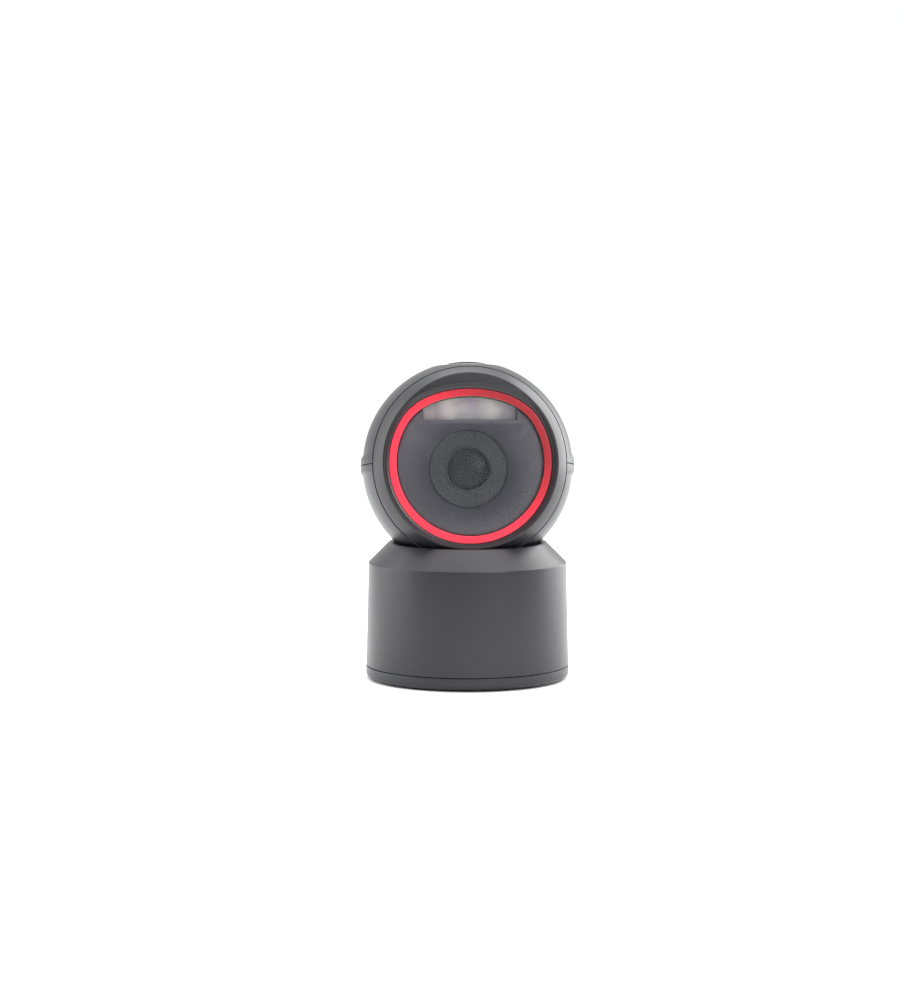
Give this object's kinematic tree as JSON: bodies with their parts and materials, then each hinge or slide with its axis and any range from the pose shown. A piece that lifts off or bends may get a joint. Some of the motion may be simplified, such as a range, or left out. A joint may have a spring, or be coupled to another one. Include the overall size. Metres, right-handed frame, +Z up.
{
  "type": "desktop barcode scanner",
  "caption": "Hands-free desktop barcode scanner: ball head with a red ring-lit window, tilting and swivelling on a round weighted base.",
  "frame": {"origin": "centre of the foot pad's underside, on the table", "axes": "+Z up along the swivel axis, -Y the way the reading window faces, +X to the right of someone facing along +Y"},
  "size_m": [0.0978, 0.0952, 0.1451],
  "materials": {
    "shell_plastic": "moulded dark grey ABS, fine satin texture",
    "dark_plastic": "moulded black plastic",
    "funnel_plastic": "moulded dark grey plastic, smooth",
    "red_light_guide": "moulded translucent red polycarbonate",
    "clear_acrylic": "clear cast acrylic",
    "milky_diffuser": "milky polycarbonate",
    "status_lens": "translucent white polycarbonate",
    "lens_glass": "coated glass",
    "circuit_board": "green solder mask on glass-epoxy",
    "steel": "zinc plated",
    "aluminium": "die cast",
    "gold_contact": "gold plated",
    "rubber": "moulded",
    "acetal": "white acetal",
    "cable_jacket": "extruded vinyl"
  },
  "bodies": {
    "base": {"ballast_plate": "steel", "base_board": "circuit_board", "base_board_screw_1": "steel", "base_board_screw_2": "steel", "base_plate": "shell_plastic", "base_screw_1": "steel", "base_screw_2": "steel", "base_screw_3": "steel", "base_screw_4": "steel", "base_shell": "shell_plastic", "cable_socket": "dark_plastic", "foot_pad": "rubber", "socket_contacts": "gold_contact", "swivel_bush": "acetal"},
    "swivel": {"neck_lead": "cable_jacket", "swivel_clip": "steel", "swivel_spring_washer": "steel", "tilt_pin_left": "steel", "tilt_pin_right": "steel", "tilt_washer_left": "acetal", "tilt_washer_right": "acetal", "tilt_yoke": "aluminium", "turntable": "dark_plastic", "yoke_screw_1": "steel", "yoke_screw_2": "steel"},
    "head": {"button_board": "circuit_board", "button_board_screw_1": "steel", "button_board_screw_2": "steel", "button_switch": "dark_plastic", "front_bezel": "shell_plastic", "front_lens": "lens_glass", "illumination_board": "circuit_board", "illumination_lens": "milky_diffuser", "illumination_reflector": "acetal", "lens_barrel": "dark_plastic", "lens_hood": "dark_plastic", "light_ring": "red_light_guide", "lower_shell": "shell_plastic", "main_board": "circuit_board", "main_board_screw_1": "steel", "main_board_screw_2": "steel", "optics_screw_1": "steel", "optics_screw_2": "steel", "optics_screw_3": "steel", "optics_screw_4": "steel", "optics_shroud": "funnel_plastic", "ring_led_board": "circuit_board", "scan_window": "clear_acrylic", "sensor_block": "dark_plastic", "sensor_board": "circuit_board", "shell_screw_1": "steel", "shell_screw_2": "steel", "sounder": "dark_plastic", "status_ring": "status_lens", "upper_shell": "shell_plastic"},
    "button": {"scan_button": "shell_plastic", "button_spring": "steel"}
  },
  "joints": [
    {"name": "base_swivel", "type": "hinge", "parent": "base", "child": "swivel", "pos_m": [0, 0, 0.045], "axis": [0, 0, 1], "range_deg": [-150, 150]},
    {"name": "head_tilt", "type": "hinge", "parent": "swivel", "child": "head", "pos_m": [0, 0, 0.0975], "axis": [-1, 0, 0], "range_deg": [-18, 12]},
    {"name": "button_press", "type": "slide", "parent": "head", "child": "button", "axis": [0, -0.1392, -0.9903], "range_m": [0, 0.0005], "stiffness_N_per_m": 400, "deforming": ["button_spring"]}
  ]
}
